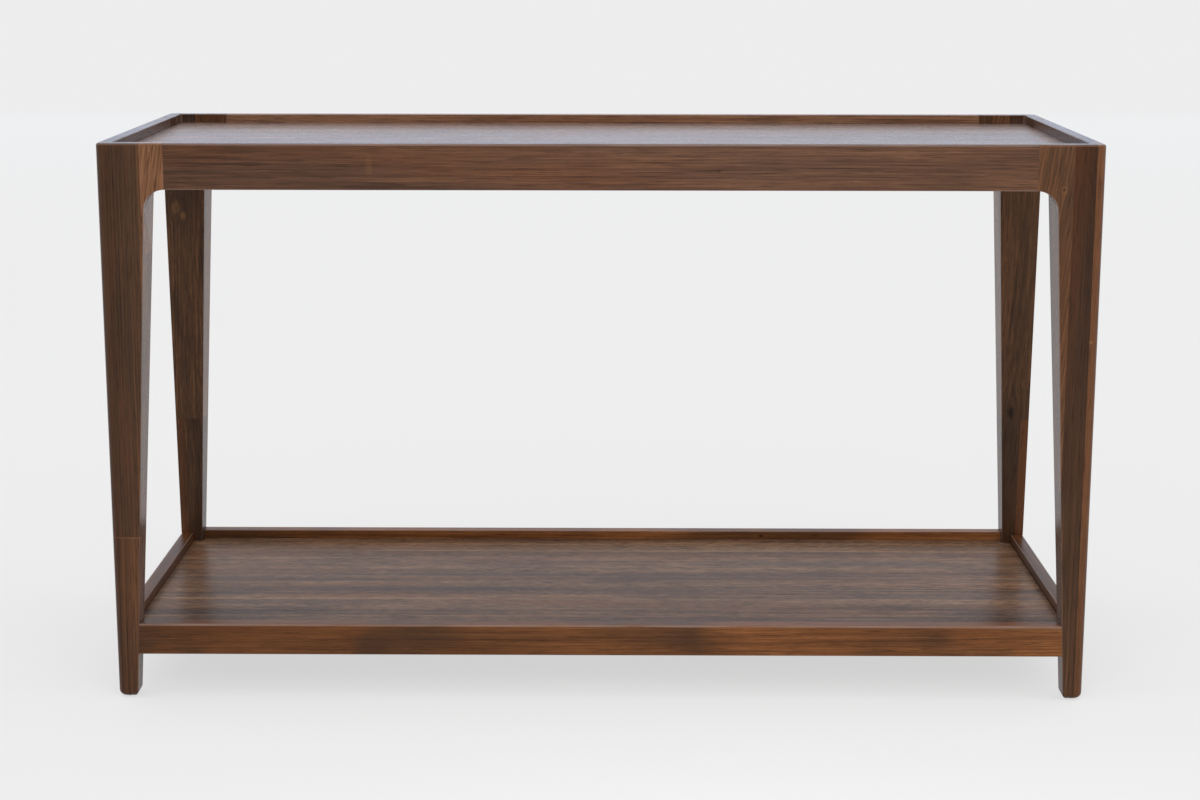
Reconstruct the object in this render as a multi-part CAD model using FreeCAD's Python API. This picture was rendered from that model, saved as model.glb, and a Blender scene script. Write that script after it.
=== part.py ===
import FreeCAD, Part
import math
import os

# Sofa table: four tapered legs with eared tops, a shallow tray top and a tray shelf near the floor.
# The origin is on the floor below the middle of the table. X runs along it and its front faces -Y.

# Overall sizes, in millimetres
table_width = 1321.0
table_depth = 457.0
table_height = 762.0

# Legs: a square post, plumb outside and tapered inside, with an ear towards each apron
post_top_width = 61.0
post_foot_width = 27.5
ear_radius = 28.0
leg_corner_radius = 12.0
foot_rounding = 8.0

# Tray top
apron_height = 61.0
apron_thickness = 19.0
top_lip_rise = 13.0
top_panel_thickness = 15.0
tray_corner_radius = 4.0

# Tray shelf
shelf_clearance = 63.0
shelf_rail_height = 43.0
shelf_rail_thickness = 19.0
shelf_lip_rise = 13.0
shelf_panel_thickness = 12.0

# Edges of the wood
lip_rounding = 3.0
edge_easing = 1.2

# Cleats under the panels, and the brace across the middle of each
top_cleat_width = 20.0
top_cleat_height = 18.0
shelf_cleat_width = 18.0
shelf_cleat_height = 16.0
brace_width = 50.0

# Dowels: two in each joint
apron_dowel_diameter = 8.0
apron_dowel_length = 36.0
apron_dowel_margin = 15.0
shelf_dowel_diameter = 6.0
shelf_dowel_length = 30.0
shelf_dowel_margin = 11.0
dowel_chamfer = 1.0

# Countersunk wood screws with a cross recess
screw_diameter = 3.8
screw_head_diameter = 7.6
screw_tip_length = 5.0
screw_bite = 8.0
screw_recess_width = 0.9
screw_recess_depth = 1.2
screw_end_margin = 60.0
brace_screw_spacing = 200.0
long_cleat_screws = 6
short_cleat_screws = 2

# Tack glides under the feet
glide_diameter = 10.0
glide_thickness = 1.5
glide_nail_diameter = 2.0
glide_nail_length = 14.0

# Clearances
panel_gap = 0.5
cleat_gap = 1.0
bore_clearance = 0.1
bore_end_gap = 0.5

# Levels and places that follow from the sizes above
half_width = table_width / 2
half_depth = table_depth / 2
apron_bottom = table_height - apron_height
top_surface = table_height - top_lip_rise
top_ledge = top_surface - top_panel_thickness
leg_bottom = glide_thickness
ear_spring = apron_bottom - ear_radius
taper = (post_top_width - post_foot_width) / (ear_spring - leg_bottom)
taper_angle = math.atan(taper)
ear_reach = post_top_width + ear_radius / math.cos(taper_angle)
shelf_top = shelf_clearance + shelf_rail_height
shelf_surface = shelf_top - shelf_lip_rise
shelf_ledge = shelf_surface - shelf_panel_thickness

ORIGIN = FreeCAD.Vector(0, 0, 0)
X_AXIS = FreeCAD.Vector(1, 0, 0)
Y_AXIS = FreeCAD.Vector(0, 1, 0)
Z_AXIS = FreeCAD.Vector(0, 0, 1)
SIDES = {"left": -1, "right": 1}
ENDS = {"front": -1, "back": 1}


def point(x, y, z):
    """A point in the table's frame."""
    return FreeCAD.Vector(x, y, z)


def flat_face(corners):
    """A flat face with straight sides through its corners."""
    return Part.Face(Part.makePolygon(corners + corners[:1]))


def block(x_span, y_span, z_span):
    """A plain block between two limits on each axis."""
    size = [high - low for low, high in (x_span, y_span, z_span)]
    return Part.makeBox(*size, point(x_span[0], y_span[0], z_span[0]))


def near(value, target, tolerance=1e-4):
    """Whether two lengths are the same."""
    return abs(value - target) < tolerance


def rounded(shape, radius, test):
    """The shape with the edges whose middle point passes the test rounded."""
    edges = []
    for edge in shape.Edges:
        middle = edge.valueAt((edge.FirstParameter + edge.LastParameter) / 2)
        if test(middle):
            edges.append(edge)
    return shape.makeFillet(radius, edges)


def mirrored(shape, side=-1, end=-1):
    """A piece of the front left, reflected to the right, to the back or to both."""
    if side > 0:
        shape = shape.mirror(ORIGIN, X_AXIS)
    if end > 0:
        shape = shape.mirror(ORIGIN, Y_AXIS)
    return shape


def quarter_turned(shape):
    """A piece along the front, turned about Z to the left side."""
    return shape.rotated(ORIGIN, Z_AXIS, -90)


def post_width(z):
    """Width of the square tapered post at a height."""
    return post_foot_width + taper * (z - leg_bottom)


def tapered_post():
    """The post of a leg, with its plumb outer corner on the Z axis."""
    rings = []
    for z in (leg_bottom, top_ledge):
        width = post_width(z)
        rings.append([point(0, 0, z), point(width, 0, z), point(width, width, z), point(0, width, z)])
    low, high = rings
    faces = [flat_face(low), flat_face(high)]
    for i in range(len(low)):
        faces.append(flat_face([low[i - 1], low[i], high[i], high[i - 1]]))
    return Part.makeSolid(Part.makeShell(faces))


def ear():
    """The slab that carries the front of a post up into the line of the apron, curved below."""
    centre = point(ear_reach, 0, ear_spring)
    first = math.pi - taper_angle
    last = math.pi / 2
    spring, crown, tip = [
        centre + point(math.cos(angle), 0, math.sin(angle)) * ear_radius
        for angle in (first, (first + last) / 2, last)
    ]
    corners = [tip, point(ear_reach, 0, table_height), point(0, 0, table_height)]
    corners += [point(0, 0, spring.z), spring]
    sides = [Part.makeLine(corners[i], corners[i + 1]) for i in range(len(corners) - 1)]
    sides.append(Part.Arc(spring, crown, tip).toShape())
    return Part.Face(Part.Wire(sides)).extrude(Y_AXIS * apron_thickness)


def leg():
    """The front left leg: a post and two ears in one piece, with its edges rounded."""
    front_ear = ear()
    side_ear = front_ear.mirror(ORIGIN, X_AXIS - Y_AXIS)
    inside = apron_thickness
    shape = tapered_post().fuse([front_ear, side_ear]).removeSplitter()
    shape = rounded(shape, leg_corner_radius, lambda p: near(p.x, 0) and near(p.y, 0))
    shape = rounded(shape, tray_corner_radius, lambda p: near(p.x, inside) and near(p.y, inside))
    shape = rounded(shape, lip_rounding, lambda p: near(p.z, table_height) and near(min(p.x, p.y), 0))
    shape = rounded(shape, edge_easing, lambda p: near(p.z, table_height) and near(min(p.x, p.y), inside))
    shape = rounded(shape, foot_rounding, lambda p: near(p.z, leg_bottom))
    shape = rounded(shape, edge_easing, lambda p: near(p.x, post_width(p.z)) and near(p.y, p.x))
    shape = rounded(
        shape, edge_easing, lambda p: near(max(p.x, p.y), post_width(p.z)) and near(min(p.x, p.y), 0)
    )
    return shape.translated(point(-half_width, -half_depth, 0))


def rail(low_half, high_half, outside, thickness, bottom, top):
    """A rail along X with its outer face at -outside in Y, its outer top edge rounded as a lip."""
    corners = [point(-low_half, -outside, bottom), point(low_half, -outside, bottom)]
    corners += [point(high_half, -outside, top), point(-high_half, -outside, top)]
    shape = flat_face(corners).extrude(Y_AXIS * thickness)
    inside = thickness - outside
    shape = rounded(shape, lip_rounding, lambda p: near(p.x, 0) and near(p.y, -outside) and near(p.z, top))
    shape = rounded(shape, edge_easing, lambda p: near(p.x, 0) and near(p.y, inside) and near(p.z, top))
    return rounded(shape, edge_easing, lambda p: near(p.x, 0) and near(p.z, bottom))


def apron(half_span, outside):
    """An apron of the tray top, from ear to ear."""
    half = half_span - ear_reach
    return rail(half, half, outside, apron_thickness, apron_bottom, table_height)


def shelf_rail(half_span, outside):
    """A rail of the shelf, its ends cut to the slant of the posts."""
    low_half = half_span - post_width(shelf_clearance)
    high_half = half_span - post_width(shelf_top)
    return rail(low_half, high_half, outside, shelf_rail_thickness, shelf_clearance, shelf_top)


def top_panel():
    """The panel inside the lip of the tray top, on the posts and cleats."""
    x = half_width - apron_thickness - panel_gap
    y = half_depth - apron_thickness - panel_gap
    shape = block((-x, x), (-y, y), (top_ledge, top_surface))
    return rounded(shape, tray_corner_radius - panel_gap, lambda p: near(abs(p.x), x) and near(abs(p.y), y))


def shelf_panel():
    """The panel inside the lip of the shelf, notched round the posts."""
    x = half_width - shelf_rail_thickness - panel_gap
    y = half_depth - shelf_rail_thickness - panel_gap
    level = (shelf_ledge, shelf_surface)
    shape = block((-x, x), (-y, y), level)
    notch = post_width(shelf_top) + panel_gap
    for side in SIDES.values():
        for end in ENDS.values():
            x_span = sorted((side * (half_width - notch), side * half_width))
            y_span = sorted((end * (half_depth - notch), end * half_depth))
            shape = shape.cut(block(x_span, y_span, level))
    return shape


def cleat(half_length, outside, width, height, ledge):
    """A cleat along X, with its outer face at -outside in Y and its top at the ledge."""
    inside = width - outside
    shape = block((-half_length, half_length), (-outside, inside), (ledge - height, ledge))
    return rounded(shape, edge_easing, lambda p: near(p.y, inside) and near(p.z, ledge - height))


def brace(reach, height, ledge):
    """A brace under the middle of a panel, from the front cleat to the back one."""
    half = brace_width / 2
    shape = block((-half, half), (-reach, reach), (ledge - height, ledge))
    return rounded(shape, edge_easing, lambda p: near(abs(p.x), half) and near(p.z, ledge - height))


def placed(shape, place, direction):
    """A piece made along Z at the origin, moved to a place and pointed in a direction."""
    shape.Placement = FreeCAD.Placement(place, FreeCAD.Rotation(Z_AXIS, direction))
    return shape


def turned(outline):
    """A round solid about Z from a half outline of (radius, distance) corners."""
    corners = [point(radius, 0, distance) for radius, distance in outline]
    return flat_face(corners).revolve(ORIGIN, Z_AXIS, 360)


def dowel(diameter, length):
    """A dowel with chamfered ends, its middle at the origin."""
    r = diameter / 2
    tip = r - dowel_chamfer
    end = length / 2
    shoulder = end - dowel_chamfer
    return turned([(0, -end), (tip, -end), (r, -shoulder), (r, shoulder), (tip, end), (0, end)])


def dowel_bore(diameter, length):
    """The bore that a dowel fills in the two pieces that it joins."""
    r = diameter / 2 + bore_clearance
    end = length / 2 + bore_end_gap
    return turned([(0, -end), (r, -end), (r, end), (0, end)])


def screw(length):
    """A countersunk screw along Z, with the face of its head at the origin."""
    r = screw_diameter / 2
    head = screw_head_diameter / 2
    shape = turned([(0, 0), (head, 0), (r, head - r), (r, length - screw_tip_length), (0, length)])
    half = screw_recess_width / 2
    depth = (0, screw_recess_depth)
    return shape.cut([block((-r, r), (-half, half), depth), block((-half, half), (-r, r), depth)])


def screw_bore(length):
    """The countersunk bore that a screw fills."""
    r = screw_diameter / 2 + bore_clearance
    head = screw_head_diameter / 2 + bore_clearance
    outline = [(0, -bore_end_gap), (head, -bore_end_gap), (head, 0), (r, head - r)]
    return turned(outline + [(r, length - screw_tip_length), (0, length + bore_end_gap)])


def glide():
    """A tack glide with its face on the floor at the origin and its nail pointing up."""
    r = glide_diameter / 2
    nail = glide_nail_diameter / 2
    nail_end = glide_thickness + glide_nail_length
    bevel = glide_thickness / 2
    outline = [(0, 0), (r - bevel, 0), (r, bevel), (r, glide_thickness), (nail, glide_thickness)]
    return turned(outline + [(nail, nail_end - glide_nail_diameter), (0, nail_end)])


def nail_bore():
    """The bore that the nail of a glide fills in its foot."""
    r = glide_nail_diameter / 2 + bore_clearance
    end = glide_thickness + glide_nail_length + bore_end_gap
    return turned([(0, 0), (r, 0), (r, end), (0, end)])


def joint_places(levels, long_half, short_half, thickness):
    """(place, direction) of the middle of each dowel in the joints of four rails."""
    places = []
    for z in levels:
        for side in SIDES.values():
            for end in ENDS.values():
                x_joint = point(side * long_half(z), end * (half_depth - thickness / 2), z)
                y_joint = point(side * (half_width - thickness / 2), end * short_half(z), z)
                places += [(x_joint, X_AXIS), (y_joint, Y_AXIS)]
    return places


def apron_joints():
    """(place, direction) of the dowels between the aprons and the ears."""
    levels = (apron_bottom + apron_dowel_margin, table_height - apron_dowel_margin)
    return joint_places(
        levels, lambda z: half_width - ear_reach, lambda z: half_depth - ear_reach, apron_thickness
    )


def shelf_joints():
    """(place, direction) of the dowels between the shelf rails and the posts."""
    levels = (shelf_clearance + shelf_dowel_margin, shelf_top - shelf_dowel_margin)
    return joint_places(
        levels,
        lambda z: half_width - post_width(z),
        lambda z: half_depth - post_width(z),
        shelf_rail_thickness,
    )


def spread(count, half_length):
    """Places along a line, evenly spaced from one end to the other."""
    return [half_length * (2 * i / (count - 1) - 1) for i in range(count)]


def cleat_screws(long_half, short_half, thickness, width, level):
    """(place, direction) of the screws through the cleats into the wood beside them."""
    places = []
    for way in (-1, 1):
        for x in spread(long_cleat_screws, long_half - screw_end_margin):
            places.append((point(x, way * (half_depth - thickness - width), level), Y_AXIS * way))
        for y in spread(short_cleat_screws, short_half - screw_end_margin):
            places.append((point(way * (half_width - thickness - width), y, level), X_AXIS * way))
    return places


def panel_screws(long_half, thickness, width, level):
    """(place, direction) of the screws up into a panel, between those that hold its cleats."""
    x_cleat = half_width - thickness - width / 2
    y_cleat = half_depth - thickness - width / 2
    span = long_half - screw_end_margin
    half_pitch = span / (long_cleat_screws - 1)
    spots = [(-x_cleat, 0), (x_cleat, 0)]
    for way in (-1, 1):
        spots.append((0, way * brace_screw_spacing / 2))
        spots += [(x, way * y_cleat) for x in spread(long_cleat_screws - 1, span - half_pitch)]
    return [(point(x, y, level), Z_AXIS) for x, y in spots]


def frame_pieces():
    """The legs, aprons and shelf rails by name."""
    pieces = {}
    corner_leg = leg()
    short_apron = quarter_turned(apron(half_depth, half_width))
    short_rail = quarter_turned(shelf_rail(half_depth, half_width))
    for end_name, end in ENDS.items():
        pieces[f"apron_{end_name}"] = mirrored(apron(half_width, half_depth), end=end)
        pieces[f"shelf_rail_{end_name}"] = mirrored(shelf_rail(half_width, half_depth), end=end)
        for side_name, side in SIDES.items():
            pieces[f"leg_{end_name}_{side_name}"] = mirrored(corner_leg, side, end)
    for side_name, side in SIDES.items():
        pieces[f"apron_{side_name}"] = mirrored(short_apron, side)
        pieces[f"shelf_rail_{side_name}"] = mirrored(short_rail, side)
    return pieces


def tray_pieces(name, panel, thickness, width, height, ledge):
    """A panel, its cleats and its brace by name, and the (length, places) of its screws by name."""
    post = post_width(ledge)
    long_half = half_width - post - cleat_gap
    short_half = half_depth - max(post, thickness + width) - cleat_gap
    long_cleat = cleat(long_half, half_depth - thickness, width, height, ledge)
    short_cleat = quarter_turned(cleat(short_half, half_width - thickness, width, height, ledge))
    pieces = {
        f"{name}_panel": panel,
        f"{name}_brace": brace(half_depth - thickness - width, height, ledge),
    }
    for end_name, end in ENDS.items():
        pieces[f"{name}_cleat_{end_name}"] = mirrored(long_cleat, end=end)
    for side_name, side in SIDES.items():
        pieces[f"{name}_cleat_{side_name}"] = mirrored(short_cleat, side)
    into_rails = cleat_screws(long_half, short_half, thickness, width, ledge - height / 2)
    into_panel = panel_screws(long_half, thickness, width, ledge - height)
    screws = {
        f"{name}_cleat_screws": (width + screw_bite, into_rails),
        f"{name}_panel_screws": (height + screw_bite, into_panel),
    }
    return pieces, screws


def drilled(shape, bores):
    """A piece with each bore that reaches it cut out."""
    hits = [bore for bore in bores if bore.BoundBox.intersect(shape.BoundBox)]
    return shape.cut(hits).Solids[0] if hits else shape


def main():
    """Makes every piece, drills the wood for its fasteners and writes each piece to its own file."""
    wood = frame_pieces()
    hardware = {}
    bores = []
    trays = (
        ("top", top_panel(), apron_thickness, top_cleat_width, top_cleat_height, top_ledge),
        ("shelf", shelf_panel(), shelf_rail_thickness, shelf_cleat_width, shelf_cleat_height, shelf_ledge),
    )
    for tray in trays:
        pieces, screws = tray_pieces(*tray)
        wood.update(pieces)
        for name, (length, places) in screws.items():
            hardware[name] = Part.makeCompound([placed(screw(length), *place) for place in places])
            bores += [placed(screw_bore(length), *place) for place in places]
    joints = (
        ("apron_dowels", (apron_dowel_diameter, apron_dowel_length), apron_joints()),
        ("shelf_dowels", (shelf_dowel_diameter, shelf_dowel_length), shelf_joints()),
    )
    for name, size, places in joints:
        hardware[name] = Part.makeCompound([placed(dowel(*size), *place) for place in places])
        bores += [placed(dowel_bore(*size), *place) for place in places]
    foot_inset = post_foot_width / 2
    for end_name, end in ENDS.items():
        for side_name, side in SIDES.items():
            place = point(side * (half_width - foot_inset), end * (half_depth - foot_inset), 0)
            hardware[f"glide_{end_name}_{side_name}"] = placed(glide(), place, Z_AXIS)
            bores.append(placed(nail_bore(), place, Z_AXIS))
    os.makedirs("parts", exist_ok=True)
    for name, shape in wood.items():
        drilled(shape, bores).exportStep(f"parts/{name}.step")
    for name, shape in hardware.items():
        shape.exportStep(f"parts/{name}.step")


main()
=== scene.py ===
"""A walnut sofa table with a tray top and a tray shelf: its meshes, finishes, light and view."""

import logging
import math
from collections.abc import Callable, Iterator, Sequence
from dataclasses import dataclass, replace
from enum import Enum, IntEnum

import bmesh
import bpy
from mathutils import Color, Matrix, Vector


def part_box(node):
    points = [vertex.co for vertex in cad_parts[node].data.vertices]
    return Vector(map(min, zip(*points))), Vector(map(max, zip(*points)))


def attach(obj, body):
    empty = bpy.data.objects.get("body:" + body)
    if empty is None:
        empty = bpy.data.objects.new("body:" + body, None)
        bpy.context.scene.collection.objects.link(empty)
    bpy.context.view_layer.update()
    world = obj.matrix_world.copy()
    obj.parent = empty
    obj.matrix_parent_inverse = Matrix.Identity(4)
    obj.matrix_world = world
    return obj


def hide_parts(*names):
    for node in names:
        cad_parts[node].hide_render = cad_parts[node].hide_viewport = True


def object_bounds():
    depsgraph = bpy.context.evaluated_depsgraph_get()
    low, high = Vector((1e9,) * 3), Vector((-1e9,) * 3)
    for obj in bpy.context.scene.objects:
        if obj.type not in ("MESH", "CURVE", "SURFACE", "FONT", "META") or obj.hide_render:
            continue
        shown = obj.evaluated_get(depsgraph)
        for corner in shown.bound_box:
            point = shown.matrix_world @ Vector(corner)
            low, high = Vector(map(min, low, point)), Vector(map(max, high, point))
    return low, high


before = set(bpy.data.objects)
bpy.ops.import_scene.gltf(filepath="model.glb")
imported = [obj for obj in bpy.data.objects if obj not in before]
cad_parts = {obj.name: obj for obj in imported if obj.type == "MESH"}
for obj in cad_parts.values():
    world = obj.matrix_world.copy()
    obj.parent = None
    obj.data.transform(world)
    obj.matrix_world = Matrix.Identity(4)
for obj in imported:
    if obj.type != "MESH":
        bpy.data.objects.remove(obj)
CAD_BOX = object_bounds()
FRONT_FACE = CAD_BOX[0].y
BODY = "root"
NEAR = 1e-5
SHARP_ANGLE = math.radians(35)
ROUND_PROFILE = 0.5
EVEN_WEIGHT = 100
BRIGHTEST = 255
WHITE = (1.0, 1.0, 1.0)
TIMBER = "timber"
# Per-point mask of the pale rounded edges: rubbed lacquer and a painted highlight.
ARRIS = "arris"
BOARD = "board"
MIX_SHARE = 0
MIX_FIRST = 6
MIX_SECOND = 7
MIX_RESULT = 2

reporter = logging.getLogger("sofa_table")

Triple = tuple[float, float, float]
Colour = Triple
Socket = bpy.types.NodeSocket
Node = bpy.types.Node
Material = bpy.types.Material
World = bpy.types.World
Piece = bpy.types.Object
EdgeTest = Callable[[Vector], bool]


class Axis(IntEnum):
    """An axis of the table: across its width, from front to back, and up."""

    X = 0
    Y = 1
    Z = 2


class Grain(Enum):
    """Which way the fibres of a piece run, as the order of its axes: along, across, across."""

    ALONG_X = (Axis.X, Axis.Y, Axis.Z)
    ALONG_Y = (Axis.Y, Axis.X, Axis.Z)
    ALONG_Z = (Axis.Z, Axis.X, Axis.Y)


class Side(Enum):
    """Left or right of the table, as a direction in X."""

    LEFT = -1
    RIGHT = 1


class End(Enum):
    """Front or back of the table, as a direction in Y."""

    FRONT = -1
    BACK = 1


class Stave(IntEnum):
    """The boards that a leg is glued up from, and the glue in its splice, by number."""

    # The outer strip over the rounded corner: an edging board whose lighter shade is partly a painted
    # highlight.
    EDGING_AND_HIGHLIGHT = 0
    POST = 1
    POST_ABOVE = 2
    EAR_ALONG = 3
    EAR_ACROSS = 4
    SEAM = 5


def near(value: float, target: float) -> bool:
    """Whether two lengths are the same."""
    return abs(value - target) < NEAR


def srgb(*values: int) -> Colour:
    """A red, green and blue as they show on a screen, as the linear values that shaders take."""
    return tuple(Color([value / BRIGHTEST for value in values]).from_srgb_to_scene_linear())


def palette(*colours: tuple[int, int, int]) -> tuple[Colour, ...]:
    """The colours of a finish, each given as it shows on a screen."""
    return tuple(srgb(*colour) for colour in colours)


def middle_of(node: str) -> Vector:
    """The middle of a node's box."""
    low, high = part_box(node)
    return (low + high) / 2


def put(name: str, data: bpy.types.ID) -> Piece:
    """Puts an object in the scene.

    Args:
        name: Name of the object.
        data: Its mesh, lamp or camera.

    Returns:
        The object.
    """
    thing = bpy.data.objects.new(name, data)
    bpy.context.scene.collection.objects.link(thing)
    return thing


def dress(piece: Piece, finish: Material) -> None:
    """Gives a finish to a piece of the frame that shows as it is."""
    for slot in piece.material_slots:
        slot.material = finish


@dataclass(frozen=True)
class Layer:
    """One layer of noise in wood.

    Attributes:
        along: Waves per metre along the grain.
        across: Waves per metre across it.
        weight: How much the layer counts.
        detail: Number of finer layers within it.
        low: Tone where its marks start to show.
        high: Tone where its marks show in full.
    """

    along: float
    across: float
    weight: float = 1.0
    detail: float = 2.0
    low: float = 0.0
    high: float = 1.0

    @property
    def scale(self) -> Triple:
        """Waves per metre along each axis, where the grain runs along the first."""
        return self.along, self.across, self.across


class Bench:
    """The node tree of a finish, with short words for the nodes that finishes share."""

    def __init__(self, owner: Material | World) -> None:
        """Opens the node tree of a material or of the world."""
        owner.use_nodes = True
        self.tree = owner.node_tree

    def feed(self, socket: Socket, value: object) -> None:
        """Links a socket to an input, or sets the input's value.

        Args:
            socket: The input.
            value: A socket, a number, a vector or a colour.
        """
        if isinstance(value, Socket):
            self.tree.links.new(value, socket)
        elif socket.type == "RGBA":
            socket.default_value = (*value, 1.0)
        else:
            socket.default_value = value

    def node(self, kind: str, inputs: dict[int | str, object], **settings: object) -> Node:
        """Adds a node.

        Args:
            kind: Type of the node.
            inputs: A socket, a number, a vector or a colour for its inputs, by place or by name.
            **settings: Properties of the node.

        Returns:
            The node.
        """
        node = self.tree.nodes.new(f"ShaderNode{kind}")
        for name, value in settings.items():
            setattr(node, name, value)
        for key, value in inputs.items():
            self.feed(node.inputs[key], value)
        return node

    def coat(self, **values: object) -> None:
        """Feeds inputs of the Principled shader, named with underscores for spaces."""
        for name, value in values.items():
            self.feed(self.tree.nodes["Principled BSDF"].inputs[name.replace("_", " ")], value)

    def read(self, name: str, output: str) -> Socket:
        """One output of an Attribute node."""
        return self.node("Attribute", {}, attribute_name=name).outputs[output]

    def math(self, operation: str, *values: object) -> Socket:
        """The result of a Math node."""
        return self.node("Math", dict(enumerate(values)), operation=operation).outputs["Value"]

    def vector(self, operation: str, *values: object) -> Socket:
        """The result of a Vector Math node, a number for a length and a vector otherwise."""
        node = self.node("VectorMath", dict(enumerate(values)), operation=operation)
        return node.outputs["Value" if operation == "LENGTH" else "Vector"]

    def noise(self, place: Socket, scale: Triple, detail: float, output: str = "Fac") -> Socket:
        """The tone or the colour of a Noise node with its own waves per metre along each axis."""
        spread = self.vector("MULTIPLY", place, scale)
        return self.node("TexNoise", {"Vector": spread, "Scale": 1.0, "Detail": detail}).outputs[output]

    def layer(self, place: Socket, layer: Layer) -> Socket:
        """The tone of a layer of noise."""
        return self.noise(place, layer.scale, layer.detail)

    def marks(self, place: Socket, layer: Layer, least: float = 0.0) -> Socket:
        """The marks that a layer of noise leaves where its tone is high, as strong as its weight."""
        return self.spread(self.layer(place, layer), layer.low, layer.high, least, layer.weight)

    def parts(self, vector: Socket) -> tuple[Socket, ...]:
        """The three parts of a vector."""
        return tuple(self.node("SeparateXYZ", {"Vector": vector}).outputs)

    def weigh(self, level: float, *terms: tuple[Socket, float]) -> Socket:
        """Adds up tones that swing about one half.

        Args:
            level: The sum where every tone is one half.
            *terms: Tones and their weights.

        Returns:
            The sum.
        """
        total: object = level - sum(weight for _, weight in terms) / 2
        for tone, weight in terms:
            total = self.math("MULTIPLY_ADD", tone, weight, total)
        return total

    def spread(self, value: Socket, low: float, high: float, start: float = 0.0, end: float = 1.0) -> Socket:
        """A value between a low and a high limit, spread smoothly from a start to an end."""
        limits = {"Value": value, "From Min": low, "From Max": high, "To Min": start, "To Max": end}
        return self.node("MapRange", limits, interpolation_type="SMOOTHSTEP").outputs["Result"]

    def ramp(self, value: Socket, stops: Sequence[tuple[float, Colour]]) -> Socket:
        """A Color Ramp.

        Args:
            value: Where on the ramp.
            stops: Places on the ramp and their colours.

        Returns:
            The colour.
        """
        node = self.node("ValToRGB", {"Fac": value})
        elements = node.color_ramp.elements
        while len(elements) < len(stops):
            elements.new(1.0)
        for element, (place, colour) in zip(elements, stops):
            element.position = place
            element.color = (*colour, 1.0)
        return node.outputs["Color"]

    def mix(self, share: object, first: object, second: object) -> Socket:
        """The first colour with a share of the second mixed in."""
        inputs = {MIX_SHARE: share, MIX_FIRST: first, MIX_SECOND: second}
        return self.node("Mix", inputs, data_type="RGBA").outputs[MIX_RESULT]

    def bump(self, height: Socket, relief: tuple[float, float], normal: Socket | None = None) -> Socket:
        """A Bump node.

        Args:
            height: Height of the surface, from 0 to 1.
            relief: Depth of the relief in metres, and the share of it that shows.
            normal: A coarser relief below this one.

        Returns:
            The normal.
        """
        depth, share = relief
        inputs = {"Height": height, "Distance": depth, "Strength": share}
        if normal is not None:
            inputs["Normal"] = normal
        return self.node("Bump", inputs).outputs["Normal"]


class Log(Bench):
    """The node tree of a wooden finish, which is drawn in the log that each piece was sawn from.

    Attributes:
        timber: The straight place in the log.
        place: The place in the log with its grain bent.
    """

    def __init__(self, finish: Material) -> None:
        """Opens the node tree of a material and reads the straight place.

        Args:
            finish: The material.
        """
        super().__init__(finish)
        self.timber = self.read(TIMBER, "Vector")
        self.place = self.timber

    def bend(self, way: Socket, share: object) -> None:
        """Bends the grain by a share of a way."""
        self.place = self.vector("MULTIPLY_ADD", way, share, self.place)


ACROSS_GRAIN = (0.0, 1.0, 1.0)
MIDDLE_TONE = 0.5
MIDDLE_TONES = (MIDDLE_TONE,) * 3
SHADE_STEP = 0.25
RING_DRIFT = Layer(0.4, 26.0, 3.5)
RING_GAPS = Layer(1.6, 34.0, 1.0, 1.0, 0.35, 0.65)
LATE_WOOD = (0.35, 0.9)
YEAR_END = (0.92, 1.0)
KNOT_REACH = 5.0
KNOT_EDGE = Layer(18.0, 150.0, 2.0)
KNOT_HALO = (1.4, 3.0)
KNOT_CORE = (1.2, 2.0)
# Patches along the rounded edges where their pale colour shows: rubbed lacquer and painted highlight.
RUBBED_AND_LIT = Layer(9.0, 60.0, 1.0, 2.0, 0.25, 0.6)
LEAST_RUBBED_AND_LIT = 0.5
FIBRE_ROUGHNESS = 0.08
PORE_ROUGHNESS = 0.20
PORE_DEPTH = -1.5
WAVES = Layer(4.0, 60.0)
WAVE_RELIEF = (0.0006, 0.08)
FIBRE_RELIEF = (0.0002, 0.25)


@dataclass(frozen=True)
class Knot:
    """A knot where a branch grew, a patch of another colour, or a dark blotch of painted shade.

    Attributes:
        place: Its middle, in the table's frame until a cut sinks it into the log.
        radius: Its radius across the grain.
        dark: How dark its middle is, from 0 to 1.
        pale: How pale the wood round it is, from 0 to 1.
        squeeze: How much narrower than its radius it is along the log and in the two ways across it.
        pull: How far the grain bends towards it, from 0 to 1.
    """

    place: Triple
    radius: float
    dark: float
    pale: float = 0.0
    squeeze: Triple = (0.6, 1.0, 1.0)
    pull: float = 0.9

    def away(self, log: Log) -> Socket:
        """The way from the knot to a place in the log."""
        return log.vector("SUBTRACT", log.timber, self.place)

    def distance(self, log: Log) -> Socket:
        """The length of that way, squeezed as the knot is."""
        return log.vector("LENGTH", log.vector("MULTIPLY", self.away(log), self.squeeze))

    def bend(self, log: Log) -> None:
        """Bends the grain round the knot."""
        pull = log.spread(self.distance(log), 0.0, KNOT_REACH * self.radius, -self.pull, 0.0)
        log.bend(self.away(log), log.vector("MULTIPLY", ACROSS_GRAIN, pull))

    def draw(self, log: Log, colour: Socket, pale: Colour, dark: Colour) -> Socket:
        """Draws the knot over the wood.

        Args:
            log: The finish's node tree.
            colour: The colour of the wood.
            pale: The colour round the knot.
            dark: The colour of its middle.

        Returns:
            The colour with the knot.
        """
        ragged = log.layer(log.timber, KNOT_EDGE)
        distance = log.math("MULTIPLY_ADD", ragged, KNOT_EDGE.weight * self.radius, self.distance(log))
        for (inner, outer), share, tint in ((KNOT_HALO, self.pale, pale), (KNOT_CORE, self.dark, dark)):
            ring = log.spread(distance, inner * self.radius, outer * self.radius, share, 0.0)
            colour = log.mix(ring, colour, tint)
        return colour


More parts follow.
